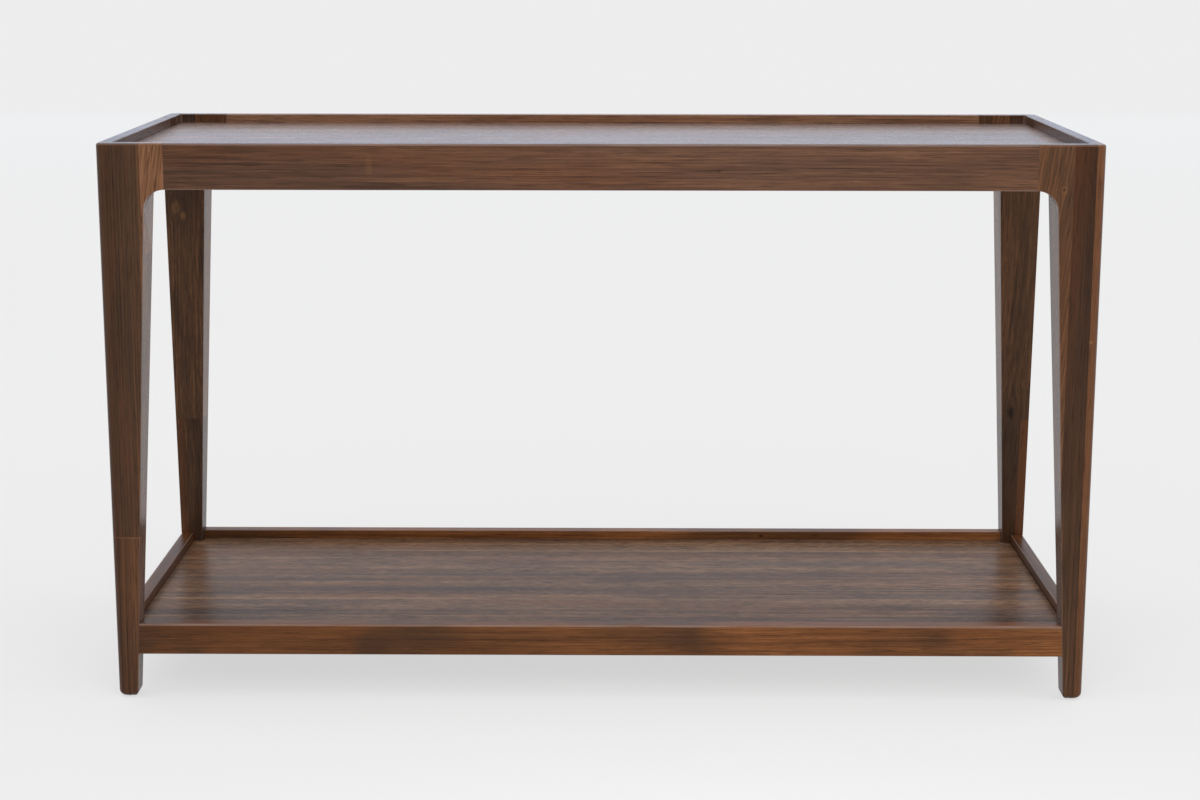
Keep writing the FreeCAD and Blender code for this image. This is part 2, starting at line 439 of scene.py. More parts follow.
@dataclass(frozen=True)
class Tone:
    """How a board differs from most: its own wood, and on some rails painted light and shade as well.

    Attributes:
        shade: How much lighter it is.
        warmth: How much redder it is.
        strength: How strong its figure is.
        fade: How much lighter it gets for each metre along the grain.
        sweep: How much lighter it gets for each metre across the grain.
    """

    shade: float = 0.0
    warmth: float = 0.0
    strength: float = 1.0
    fade: float = 0.0
    sweep: float = 0.0

    def at(self, along: float, across: float) -> Triple:
        """The shade, warmth and strength at a distance from the middle of the piece."""
        return self.shade + self.fade * along + self.sweep * across, self.warmth, self.strength


@dataclass(frozen=True)
class Cut:
    """How a board lies in the log that it was sawn from.

    Attributes:
        grain: Which way its fibres run.
        heart: Where the heart of the log passes the middle of the piece, in its two axes across the grain.
        along: How far along the log the board was cut.
        lean: Slope of the fibres to the edge of the piece, in degrees.
        tone: How its wood differs from most.
    """

    grain: Grain
    heart: tuple[float, float]
    along: float
    lean: float = 0.0
    tone: Tone = Tone()

    def place(self, point: Vector, middle: Vector) -> Triple:
        """Where a point of the piece was in the log.

        Args:
            point: The point, in the table's frame.
            middle: The middle of the piece, in the table's frame.

        Returns:
            The point's distance along the log, and its two distances from the heart.
        """
        along, first, second = ((point - middle)[axis] for axis in self.grain.value)
        turn = math.radians(self.lean)
        leaned = along * math.cos(turn) + first * math.sin(turn)
        across = first * math.cos(turn) - along * math.sin(turn)
        return leaned + self.along, across - self.heart[0], second - self.heart[1]

    def look(self, point: Vector, middle: Vector) -> Triple:
        """The shade, warmth and strength of figure of the board at a point of the piece."""
        along, across, _ = ((point - middle)[axis] for axis in self.grain.value)
        return self.tone.at(along, across)

    def sink(self, knot: Knot, node: str) -> Knot:
        """A knot that shows on a node, with its place in the log."""
        return replace(knot, place=self.place(Vector(knot.place), middle_of(node)))


@dataclass(frozen=True)
class Walnut:
    """Lacquered walnut, drawn in the log that each piece was cut from.

    Attributes:
        name: Name of the material.
        shades: Colours of the wood, from the darkest lines to the palest.
        warm: Tint of the redder boards and patches.
        pale: Colour of the pale lines, and of the wood round a knot.
        smoke: Tint of the smoky patches.
        knot_and_shade_colour: Colour of the middle of a knot, and of the blotches of painted shade.
        knots: The knots in the log, and the blotches of painted shade.
        ring_width: Width of a year's growth.
        ring_weight: How much the rings count.
        broad: Broad bands of tone.
        streaks: Narrow streaks.
        fibre: Single fibres.
        mottle: Cloudy tone across the grain.
        patches: Warm patches.
        dark_lines: Thin dark lines.
        dashes: Short dark dashes where pores run together.
        pale_lines: Thin pale lines.
        smoky: Smoky patches.
        pores: The open pores.
        long_bend: Long waves in the grain, whose weight is their depth in metres.
        short_bend: Short waves in the grain, whose weight is their depth in metres.
        sheen: Streaks in the sheen of the lacquer.
        roughness: Roughness of the lacquer.
        shine: Specular level of the lacquer.
        glance: Tint of the lacquer's reflection where it is looked at square on.
        worn_and_lit: Colour of the rounded edges: rubbed lacquer and a painted highlight where light catches
            them.
        wear_and_highlight: How much of that colour shows.
        haze: How much of a cold bloom the lacquer has where the light grazes it.
        haze_tint: Colour of the bloom.
        haze_roughness: Roughness of the bloom.
    """

    name: str
    shades: tuple[Colour, ...] = palette(
        (33, 23, 17), (47, 34, 26), (62, 45, 34), (81, 57, 41), (110, 75, 51), (142, 100, 73)
    )
    warm: Colour = srgb(122, 70, 38)
    pale: Colour = srgb(140, 98, 62)
    smoke: Colour = srgb(52, 44, 42)
    knot_and_shade_colour: Colour = srgb(28, 20, 16)
    knots: tuple[Knot, ...] = ()
    ring_width: float = 0.0048
    ring_weight: float = 0.16
    broad: Layer = Layer(0.5, 40.0, 0.40, 3.0)
    streaks: Layer = Layer(4.0, 340.0, 0.55, 3.0)
    fibre: Layer = Layer(22.0, 1300.0, 0.34)
    mottle: Layer = Layer(10.0, 22.0, 0.26)
    patches: Layer = Layer(1.8, 20.0, 0.25, 2.0, 0.42, 0.72)
    dark_lines: Layer = Layer(2.2, 150.0, 0.30, 2.0, 0.60, 0.70)
    dashes: Layer = Layer(26.0, 560.0, 0.45, 2.0, 0.54, 0.68)
    pale_lines: Layer = Layer(1.8, 200.0, 0.25, 2.0, 0.62, 0.72)
    smoky: Layer = Layer(4.0, 16.0, 0.0, 2.0, 0.48, 0.68)
    pores: Layer = Layer(60.0, 2200.0, 0.40, 1.0, 0.60, 0.68)
    long_bend: Layer = Layer(0.9, 4.0, 0.010, 1.0)
    short_bend: Layer = Layer(5.0, 16.0, 0.0018, 1.0)
    sheen: Layer = Layer(12.0, 70.0, 0.10)
    roughness: float = 0.23
    shine: float = 0.09
    glance: Colour = WHITE
    # The pale colour of the rounded edges is rubbed lacquer and a painted highlight where light catches them.
    worn_and_lit: Colour = srgb(140, 108, 90)
    wear_and_highlight: float = 0.4
    haze: float = 0.07
    haze_tint: Colour = (0.68, 0.80, 1.0)
    haze_roughness: float = 0.4

    def sway(self, log: Log) -> None:
        """Bends the grain in waves and round the knots.

        Args:
            log: The finish's node tree.
        """
        for wave in (self.long_bend, self.short_bend):
            noise = log.noise(log.timber, wave.scale, wave.detail, "Color")
            log.bend(log.vector("SUBTRACT", noise, MIDDLE_TONES), (0.0, wave.weight, wave.weight))
        for knot in self.knots:
            knot.bend(log)

    def rings(self, log: Log) -> Socket:
        """The growth rings: pale wood that ends each year in a thin dark line.

        Args:
            log: The finish's node tree.

        Returns:
            The tone, 0 in the lines and 1 between them.
        """
        radius = log.vector("LENGTH", log.vector("MULTIPLY", log.place, ACROSS_GRAIN))
        drift = log.math("MULTIPLY", log.layer(log.place, RING_DRIFT), RING_DRIFT.weight)
        season = log.math("FRACT", log.math("MULTIPLY_ADD", radius, 1 / self.ring_width, drift))
        ended = log.spread(season, *YEAR_END, 1.0, 0.0)
        line = log.math("MULTIPLY", log.spread(season, *LATE_WOOD), ended)
        return log.math("SUBTRACT", 1.0, log.math("MULTIPLY", line, log.marks(log.place, RING_GAPS)))

    def figure(self, log: Log, fibre: Socket) -> Socket:
        """The rings, bands, streaks and fibres as one tone.

        Args:
            log: The finish's node tree.
            fibre: Tone of the fibres.

        Returns:
            The tone, below 0 for dark wood and above 0 for light.
        """
        terms = [(log.layer(log.place, layer), layer.weight) for layer in (self.broad, self.streaks)]
        terms.append((log.layer(log.timber, self.mottle), self.mottle.weight))
        terms.append((fibre, self.fibre.weight))
        terms.append((self.rings(log), self.ring_weight))
        return log.weigh(0.0, *terms)

    def tint(self, log: Log, tone: Socket, warmth: Socket) -> Socket:
        """The colour of the wood, with its patches and lines.

        Args:
            log: The finish's node tree.
            tone: Tone of the figure.
            warmth: How red the board is.

        Returns:
            The colour.
        """
        last = len(self.shades) - 1
        stops = [(number / last, colour) for number, colour in enumerate(self.shades)]
        colour = log.ramp(log.math("DIVIDE", tone, SHADE_STEP * last), stops)
        colour = log.mix(log.math("ADD", log.marks(log.timber, self.patches), warmth), colour, self.warm)
        colour = log.mix(log.marks(log.timber, self.smoky), colour, self.smoke)
        for layer in (self.dark_lines, self.dashes):
            colour = log.mix(log.marks(log.place, layer), colour, self.shades[0])
        return log.mix(log.marks(log.place, self.pale_lines), colour, self.pale)

    def material(self) -> Material:
        """Builds the material.

        Returns:
            The material.
        """
        finish = bpy.data.materials.new(f"{self.name}_finish")
        log = Log(finish)
        shade, warmth, strength = log.parts(log.read(BOARD, "Vector"))
        self.sway(log)
        fibre = log.layer(log.place, self.fibre)
        level = log.math("ADD", shade, MIDDLE_TONE)
        tone = log.math("MULTIPLY_ADD", self.figure(log, fibre), strength, level)
        pore = log.marks(log.place, self.pores)
        colour = log.mix(pore, self.tint(log, tone, warmth), self.shades[0])
        for knot in self.knots:
            colour = knot.draw(log, colour, self.pale, self.knot_and_shade_colour)
        # Pale rounded edges: rubbed lacquer, and a painted highlight where light catches them.
        wear_and_highlight = log.math("MULTIPLY", log.read(ARRIS, "Fac"), self.wear_and_highlight)
        wear_and_highlight = log.math("MULTIPLY", log.marks(log.timber, RUBBED_AND_LIT, LEAST_RUBBED_AND_LIT), wear_and_highlight)
        colour = log.mix(wear_and_highlight, colour, self.worn_and_lit)

        sheen = log.layer(log.place, self.sheen)
        rough = log.weigh(self.roughness, (fibre, FIBRE_ROUGHNESS), (sheen, self.sheen.weight))
        rough = log.math("MULTIPLY_ADD", pore, PORE_ROUGHNESS, rough)
        surface = log.bump(log.layer(log.place, WAVES), WAVE_RELIEF)
        surface = log.bump(log.math("MULTIPLY_ADD", pore, PORE_DEPTH, fibre), FIBRE_RELIEF, surface)
        log.coat(Base_Color=colour, Roughness=rough, Normal=surface)
        log.coat(Specular_IOR_Level=self.shine, Specular_Tint=self.glance)
        log.coat(Sheen_Weight=self.haze, Sheen_Tint=self.haze_tint, Sheen_Roughness=self.haze_roughness)
        return finish


@dataclass(frozen=True)
class Plain:
    """A finish of two colours for the pieces that are out of sight, planed wood unless told otherwise.

    Attributes:
        name: Name of the material.
        colours: Colour where its tone is low, and where it is high.
        grain: Which way its fibres run, if it has any.
        coarse: Waves per metre of its clouds or streaks along each axis, along the grain first.
        fine: Waves per metre of its fibres, scratches or grit along each axis, along the grain first.
        details: Number of finer layers within the coarse tone and the fine tone.
        stops: Tones where the two colours show in full.
        figure: How much the coarse tone and the fine tone count in its colour.
        roughness: Its roughness.
        uneven: How much the coarse tone and the fine tone count in its roughness.
        relief: Depth of the fine tone in metres, and the share of it that shows.
        metal: 1 for metal and 0 for anything else.
    """

    name: str
    colours: tuple[Colour, ...]
    grain: Grain = Grain.ALONG_X
    coarse: Triple = (2.0, 140.0, 140.0)
    fine: Triple = (24.0, 1500.0, 1500.0)
    details: tuple[float, float] = (3.0, 2.0)
    stops: tuple[float, float] = (0.3, 0.7)
    figure: tuple[float, float] = (0.7, 0.5)
    roughness: float = 0.62
    uneven: tuple[float, float] = (0.0, 0.2)
    relief: tuple[float, float] = (0.0003, 0.4)
    metal: float = 0.0

    def material(self) -> Material:
        """Builds the material.

        Returns:
            The material.
        """
        finish = bpy.data.materials.new(f"{self.name}_finish")
        bench = Bench(finish)
        parts = bench.parts(bench.node("TexCoord", {}).outputs["Object"])
        order = {number: parts[axis] for number, axis in enumerate(self.grain.value)}
        place = bench.node("CombineXYZ", order).outputs["Vector"]
        coarse, fine = (bench.noise(place, *noise) for noise in zip((self.coarse, self.fine), self.details))
        tone = bench.weigh(MIDDLE_TONE, *zip((coarse, fine), self.figure))
        rough = bench.weigh(self.roughness, *zip((coarse, fine), self.uneven))
        bench.coat(Base_Color=bench.ramp(tone, tuple(zip(self.stops, self.colours))), Metallic=self.metal)
        bench.coat(Roughness=rough, Normal=bench.bump(fine, self.relief))
        return finish


@dataclass(frozen=True)
class Rounding:
    """How an edge is rounded.

    Attributes:
        radius: Radius of the rounding.
        steps: Number of faces across it.
        worn_and_lit: Whether the edge takes the pale colour of rubbed lacquer and painted highlight.
    """

    radius: float
    steps: int
    worn_and_lit: bool = True


# These roundings take the pale edge colour: rubbed lacquer and a painted highlight.
LIP_ROUNDING = Rounding(0.003, 4)
EASING = Rounding(0.0012, 3)
JOINT_EASING = Rounding(0.0004, 2)


class Blank:
    """A blank of wood being shaped: flat faces first, then rounded edges."""

    def __init__(self) -> None:
        """Starts with nothing."""
        self.mesh = bmesh.new()
        self.rounded = self.mesh.faces.layers.int.new("rounded")
        self.board = self.mesh.faces.layers.int.new("glued_board")

    def face(self, corners: Sequence[Triple]) -> None:
        """Adds a flat face through its corners."""
        self.mesh.faces.new([self.mesh.verts.new(corner) for corner in corners])

    def prism(self, outline: Sequence[Vector], depth: Vector) -> None:
        """Adds a solid with one outline at both ends.

        Args:
            outline: Corners of the near end.
            depth: The way to the far end.
        """
        far = [corner + depth for corner in outline]
        self.face(outline)
        self.face(far)
        for number in range(len(outline)):
            self.face([outline[number - 1], outline[number], far[number], far[number - 1]])
        self.close()

    def close(self) -> None:
        """Joins the faces where they meet and turns them outwards."""
        bmesh.ops.remove_doubles(self.mesh, verts=self.mesh.verts, dist=NEAR)
        bmesh.ops.recalc_face_normals(self.mesh, faces=self.mesh.faces)

    def ease(self, rounding: Rounding, test: EdgeTest) -> None:
        """Rounds the sharp edges whose middle passes a test.

        Args:
            rounding: How they are rounded.
            test: The test.
        """
        sharp = [edge for edge in self.mesh.edges if edge.calc_face_angle(0.0) > SHARP_ANGLE]
        made = bmesh.ops.bevel(
            self.mesh,
            geom=[edge for edge in sharp if test((edge.verts[0].co + edge.verts[1].co) / 2)],
            offset=rounding.radius,
            offset_type="OFFSET",
            segments=rounding.steps,
            profile=ROUND_PROFILE,
            affect="EDGES",
            clamp_overlap=False,
            loop_slide=True,
        )
        for face in made["faces"]:
            face[self.rounded] = int(rounding.worn_and_lit)

    def glue(
        self, axis: Axis, line: float, board: int, far: float = math.inf, within: int | None = None
    ) -> None:
        """Marks a glue line: the wood beyond it is another board.

        Args:
            axis: The axis that the glue line crosses.
            line: Where it crosses.
            board: Number of the board beyond it.
            far: Where that board ends.
            within: Number of the board that the glue line is in, where the other boards pass it.
        """
        across = Vector.Fill(len(Axis), 0.0)
        across[axis] = 1.0
        for place in (line, far):
            if math.isfinite(place):
                parts = [*self.mesh.verts, *self.mesh.edges, *self.mesh.faces]
                plane = {"plane_co": across * place, "plane_no": across}
                bmesh.ops.bisect_plane(self.mesh, geom=parts, dist=NEAR, **plane)
        for face in self.mesh.faces:
            if line < face.calc_center_median()[axis] < far and within in (None, face[self.board]):
                face[self.board] = int(board)

    def move(self, matrix: Matrix) -> None:
        """Moves the blank, or reflects it."""
        bmesh.ops.transform(self.mesh, matrix=matrix, verts=self.mesh.verts)
        bmesh.ops.recalc_face_normals(self.mesh, faces=self.mesh.faces)

    def piece(self, node: str, cuts: Sequence[Cut], finish: Material) -> Piece:
        """Makes the finished piece that stands for a node of the frame.

        Args:
            node: The node that it stands for.
            cuts: How its boards lie in their logs, by number.
            finish: Its material.

        Returns:
            The piece.
        """
        worn_and_lit = [float(all(face[self.rounded] for face in vert.link_faces)) for vert in self.mesh.verts]
        boards = [cuts[face[self.board]] for face in self.mesh.faces]
        name = f"walnut_{node}"
        mesh = bpy.data.meshes.new(name)
        self.mesh.to_mesh(mesh)
        self.mesh.free()
        middle = middle_of(node)
        places: list[float] = []
        tones: list[float] = []
        for polygon, cut in zip(mesh.polygons, boards):
            for index in polygon.vertices:
                point = mesh.vertices[index].co
                places.extend(cut.place(point, middle))
                tones.extend(cut.look(point, middle))
        for title, values in ((TIMBER, places), (BOARD, tones)):
            mesh.attributes.new(title, "FLOAT_VECTOR", "CORNER").data.foreach_set("vector", values)
        mesh.attributes.new(ARRIS, "FLOAT", "POINT").data.foreach_set("value", worn_and_lit)
        mesh.polygons.foreach_set("use_smooth", [True] * len(mesh.polygons))
        mesh.materials.append(finish)
        piece = put(name, mesh)
        piece.modifiers.new("even_shading", "WEIGHTED_NORMAL").weight = EVEN_WEIGHT
        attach(piece, BODY)
        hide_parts(node)
        return piece


@dataclass(frozen=True)
class LegForm:
    """The sizes of a leg that the shelf has to fit as well.

    Attributes:
        post_top: Width of the post below the ears.
        post_foot: Width of the post at the foot.
        ear_height: Height of an ear.
        ear_radius: Radius of the curve from an ear to the post.
        node: The leg whose height is read from the frame.
    """

    post_top: float = 0.061
    post_foot: float = 0.0275
    ear_height: float = 0.061
    ear_radius: float = 0.028
    node: str = "leg_front_left"

    @property
    def bottom(self) -> float:
        """Height of the foot above the floor."""
        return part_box(self.node)[0].z

    @property
    def top(self) -> float:
        """Height of the top of the leg."""
        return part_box(self.node)[1].z

    @property
    def spring(self) -> float:
        """Height where the curve of an ear starts."""
        return self.top - self.ear_height - self.ear_radius

    @property
    def taper(self) -> float:
        """How much wider the post gets for each unit of height."""
        return (self.post_top - self.post_foot) / (self.spring - self.bottom)

    @property
    def reach(self) -> float:
        """Distance from the outer corner to the end of an ear."""
        return self.post_top + self.ear_radius / math.cos(math.atan(self.taper))

    def width(self, height: float) -> float:
        """Width of the post at a height above the floor."""
        return self.post_foot + self.taper * (height - self.bottom)


@dataclass(frozen=True)
class Boards:
    """The boards that a leg is glued up from.

    Attributes:
        edging_and_highlight: The strip on the outer side and its rounded corner, lighter partly as a painted
            highlight.
        post: The post.
        along: The ear along X.
        across: The ear along Y.
        stave: How far the post reaches from the outer corner, up to its glue lines.
        above_shade: How much lighter the post is above its splice.
        seam_shade: How much lighter the glue in the splice is.
        seam_warmth: How red the glue in the splice is.
    """

    edging_and_highlight: Tone
    post: Tone
    along: Tone
    across: Tone
    stave: float = 0.042
    above_shade: float = -0.06
    seam_shade: float = 0.25
    seam_warmth: float = 0.1

    def tones(self) -> list[Tone]:
        """The tones of the staves.

        Returns:
            A tone for each stave, in the order of their numbers.
        """
        above = replace(self.post, shade=self.post.shade + self.above_shade, warmth=0.0)
        seam = replace(self.post, shade=self.post.shade + self.seam_shade, warmth=self.seam_warmth)
        return [self.edging_and_highlight, self.post, above, self.along, self.across, seam]


LEG_BOARDS = {
    (Side.LEFT, End.FRONT): Boards(
        Tone(0.06, 0.12, 1.0, fade=-0.2),
        Tone(0.33, 0.12, 1.0, fade=-0.2, sweep=8.0),
        Tone(0.42, 0.06, 2.4, sweep=6.0),
        Tone(0.04, -0.25, 1.0),
        stave=0.058,
    ),
    (Side.LEFT, End.BACK): Boards(
        Tone(0.10, 0.25, 1.4), Tone(0.05, 0.0, 1.4), Tone(0.35, 0.06, 1.4), Tone(0.16, -0.25, 1.4)
    ),
    (Side.RIGHT, End.FRONT): Boards(
        # This leg's light, warm outer strip is partly a painted highlight of side light on its rounded
        # corner, strongest near the top.
        Tone(0.36, 0.25, 0.7, fade=0.3),
        Tone(-0.08, 0.05, 0.7, fade=-0.7),
        Tone(0.28, 0.06, 1.0),
        Tone(0.04, -0.25, 0.7),
    ),
    (Side.RIGHT, End.BACK): Boards(
        Tone(0.20, 0.25, 0.8), Tone(0.05, 0.0, 0.8), Tone(0.35, 0.06, 1.4), Tone(0.24, -0.25, 0.8)
    ),
}
POST_CUT = Cut(Grain.ALONG_Z, (0.11, -0.06), 0.0, 0.3)
POST_STEP = (0.02, 0.0)
STAVE_CUTS = (
    (replace(POST_CUT, along=60.0), POST_STEP),
    (POST_CUT, POST_STEP),
    (replace(POST_CUT, along=30.0), POST_STEP),
    (Cut(Grain.ALONG_Z, (0.08, -0.05), 9.0, 8.0), (0.0, -0.02)),
    (Cut(Grain.ALONG_Z, (0.10, 0.07), 18.0, 1.0), (0.0, 0.02)),
    (POST_CUT, POST_STEP),
)
LEG_STEP = 1.9
LEG_KNOTS = (
    (Side.LEFT, End.BACK, Stave.EAR_ACROSS, Knot((-0.644, 0.170, 0.624), 0.005, 0.15, 0.35, (0.8, 1.0, 1.0))),
    (Side.LEFT, End.BACK, Stave.EAR_ACROSS, Knot((-0.635, 0.170, 0.612), 0.003, 0.10, 0.55, pull=0.3)),
    (Side.RIGHT, End.BACK, Stave.EAR_ACROSS, Knot((0.632, 0.186, 0.304), 0.008, 0.85)),
    (Side.RIGHT, End.FRONT, Stave.EAR_ALONG, Knot((0.606, FRONT_FACE, 0.703), 0.0022, 0.85, 0.30)),
    (
        Side.RIGHT,
        End.FRONT,
        Stave.EDGING_AND_HIGHLIGHT,
        Knot((0.650, FRONT_FACE, 0.5), 0.0014, 0.0, 0.60, (1.0, 0.6, 0.6), 0.0),
    ),
)


@dataclass
class LegSet:
    """The four legs: posts, plumb outside and tapered inside, each with an ear towards its two aprons.

    Attributes:
        form: Sizes that the shelf shares.
        ear_thickness: Thickness of an ear.
        lip_rise: Height of the lip above the top panel.
        panel_thickness: Thickness of the top panel, which rests on the post.
        corner: Rounding of the outer corner.
        tray_corner: Rounding of the corner inside the tray.
        foot: Rounding of the foot.
        lip: Rounding of the outer edge of the lip.
        easing: Rounding of the other edges.
        joint: Rounding of the edges at the joints with the aprons.
        curve_steps: Number of faces along the curve of an ear.
        edging_and_highlight: Thickness of the strip on the outer side, whose lighter shade is partly a
            painted highlight.
        splice: Height of the joint in the post of the spliced leg.
        seam: Width of the glue in that joint.
        spliced: The leg whose post is joined from two lengths.
    """

    form: LegForm = LegForm()
    ear_thickness: float = 0.019
    lip_rise: float = 0.013
    panel_thickness: float = 0.015
    corner: Rounding = Rounding(0.012, 8, False)
    # The pale edge colour on this hollow rounding paints a glint in the inner corner of the tray.
    tray_corner: Rounding = Rounding(0.004, 4)
    foot: Rounding = Rounding(0.008, 6, False)
    lip: Rounding = LIP_ROUNDING
    easing: Rounding = EASING
    joint: Rounding = JOINT_EASING
    curve_steps: int = 12
    edging_and_highlight: float = 0.013
    splice: float = 0.227
    seam: float = 0.0014
    spliced: tuple[Side, End] = (Side.LEFT, End.FRONT)

    @property
    def ledge(self) -> float:
        """Height of the ledge that the top panel rests on."""
        return self.form.top - self.lip_rise - self.panel_thickness

    def node(self, side: Side, end: End) -> str:
        """Name of a leg's node."""
        return f"leg_{end.name}_{side.name}".lower()

    def cuts(self, side: Side, end: End) -> list[Cut]:
        """How the staves of a leg lie in their logs.

        Args:
            side: Side of the leg.
            end: End of the leg.

        Returns:
            A cut for each stave, in the order of their numbers.
        """
        number = list(LEG_BOARDS).index((side, end))
        cuts = []
        for (cut, step), tone in zip(STAVE_CUTS, LEG_BOARDS[side, end].tones()):
            heart = tuple(place + shift * number for place, shift in zip(cut.heart, step))
            cuts.append(replace(cut, heart=heart, along=cut.along + LEG_STEP * number, tone=tone))
        return cuts

    def knots(self) -> Iterator[Knot]:
        """The knots that show in the legs, placed in their logs."""
        for side, end, stave, knot in LEG_KNOTS:
            yield self.cuts(side, end)[stave].sink(knot, self.node(side, end))

    def curve(self) -> list[tuple[float, float]]:
        """The curve from the post to the under side of an ear.

        Returns:
            Its points, as distance from the outer corner and height.
        """
        form = self.form
        turn = math.atan(form.taper)
        points = []
        for step in range(self.curve_steps + 1):
            angle = math.pi - turn - (math.pi / 2 - turn) * step / self.curve_steps
            across = form.reach + form.ear_radius * math.cos(angle)
            points.append((across, form.spring + form.ear_radius * math.sin(angle)))
        return points

    def blank(self) -> Blank:
        """Saws out a leg with its plumb outer corner on the Z axis and its ears along X and Y.

        Returns:
            The blank, with sharp edges.
        """
        bottom, top, foot = self.form.bottom, self.form.top, self.form.post_foot
        thick, reach, ledge = self.ear_thickness, self.form.reach, self.ledge
        under = top - self.form.ear_height
        seat = self.form.width(ledge)
        curve = self.curve()
        start, spring = curve[0]

        blank = Blank()
        lip = ((0, 0), (reach, 0), (reach, thick), (thick, thick), (thick, reach), (0, reach))
        blank.face([(x, y, bottom) for x, y in ((0, 0), (foot, 0), (foot, foot), (0, foot))])
        blank.face([(x, y, ledge) for x, y in ((thick, thick), (seat, thick), (seat, seat), (thick, seat))])
        blank.face([(x, y, top) for x, y in lip])
        front = [(0, bottom), (foot, bottom), *curve, (reach, top), (0, top)]
        rear = [*curve, (reach, top), (thick, top), (thick, ledge), (seat, ledge)]
        taper = [(foot, 0, bottom), (foot, foot, bottom), (seat, seat, ledge), (seat, thick, ledge)]
        taper += [(start, thick, spring), (start, 0, spring)]
        butt = [(reach, 0, under), (reach, thick, under), (reach, thick, top), (reach, 0, top)]
        faces = [[(x, 0, z) for x, z in front], [(x, thick, z) for x, z in rear], taper, butt]
        for (x0, z0), (x1, z1) in zip(curve, curve[1:]):
            faces.append([(x0, 0, z0), (x1, 0, z1), (x1, thick, z1), (x0, thick, z0)])
        for corners in faces:
            blank.face(corners)
            blank.face([(y, x, z) for x, y, z in corners])
        blank.close()
        return blank

    def shape(self, stave: float, spliced: bool) -> Blank:
        """Rounds the edges of a leg and marks the glue lines between its boards.

        Args:
            stave: How far the post reaches from the outer corner, up to its glue lines.
            spliced: Whether the post is joined from two lengths.

        Returns:
            The shaped blank.
        """
        blank = self.blank()
        bottom, foot = self.form.bottom, self.form.post_foot
        thick, corner = self.ear_thickness, self.corner.radius
        low_ledge, low_top, near_reach = self.ledge - NEAR, self.form.top - NEAR, self.form.reach - NEAR
        blank.ease(self.corner, lambda p: near(p.x, 0) and near(p.y, 0))
        blank.ease(self.tray_corner, lambda p: near(p.x, thick) and near(p.y, thick))
        blank.ease(self.foot, lambda p: near(p.z, bottom))
        blank.ease(self.easing, lambda p: near(p.x, p.y) and p.z < low_ledge and p.x > foot / 2)
        blank.ease(self.easing, lambda p: near(min(p.xy), 0) and max(p.xy) < near_reach and p.z < low_top)
        blank.ease(self.lip, lambda p: p.z > low_top and (min(p.xy) < NEAR or p.x + p.y < corner))
        blank.ease(self.easing, lambda p: p.z > low_top and max(p.xy) < near_reach)
        blank.ease(self.joint, lambda p: max(p.xy) > near_reach)
        blank.glue(Axis.X, self.edging_and_highlight, Stave.POST)
        if spliced:
            blank.glue(Axis.Z, self.splice, Stave.POST_ABOVE, within=Stave.POST)
            blank.glue(Axis.Z, self.splice, Stave.SEAM, self.splice + self.seam)
        blank.glue(Axis.X, stave, Stave.EAR_ALONG)
        blank.glue(Axis.Y, stave, Stave.EAR_ACROSS)
        return blank

    def build(self) -> Iterator[Piece]:
        """Builds the legs in the corners of the table.

        Yields:
            Each leg.
        """
        finish = Walnut("leg_walnut", knots=tuple(self.knots())).material()
        low, high = CAD_BOX
        for (side, end), boards in LEG_BOARDS.items():
            x = low.x if side is Side.LEFT else high.x
            y = low.y if end is End.FRONT else high.y
            blank = self.shape(boards.stave, (side, end) == self.spliced)
            mirror = Matrix.Diagonal((-side.value, -end.value, 1, 1))
            blank.move(Matrix.Translation(Vector((x, y, 0))) @ mirror)
            yield blank.piece(self.node(side, end), self.cuts(side, end), finish)


RAIL_GRAINS = {
    "front": Grain.ALONG_X,
    "back": Grain.ALONG_X,
    "left": Grain.ALONG_Y,
    "right": Grain.ALONG_Y,
}
RAIL_STEP = 2.1
HEART_STEP = 0.03
LEAF_STEP = 5.3


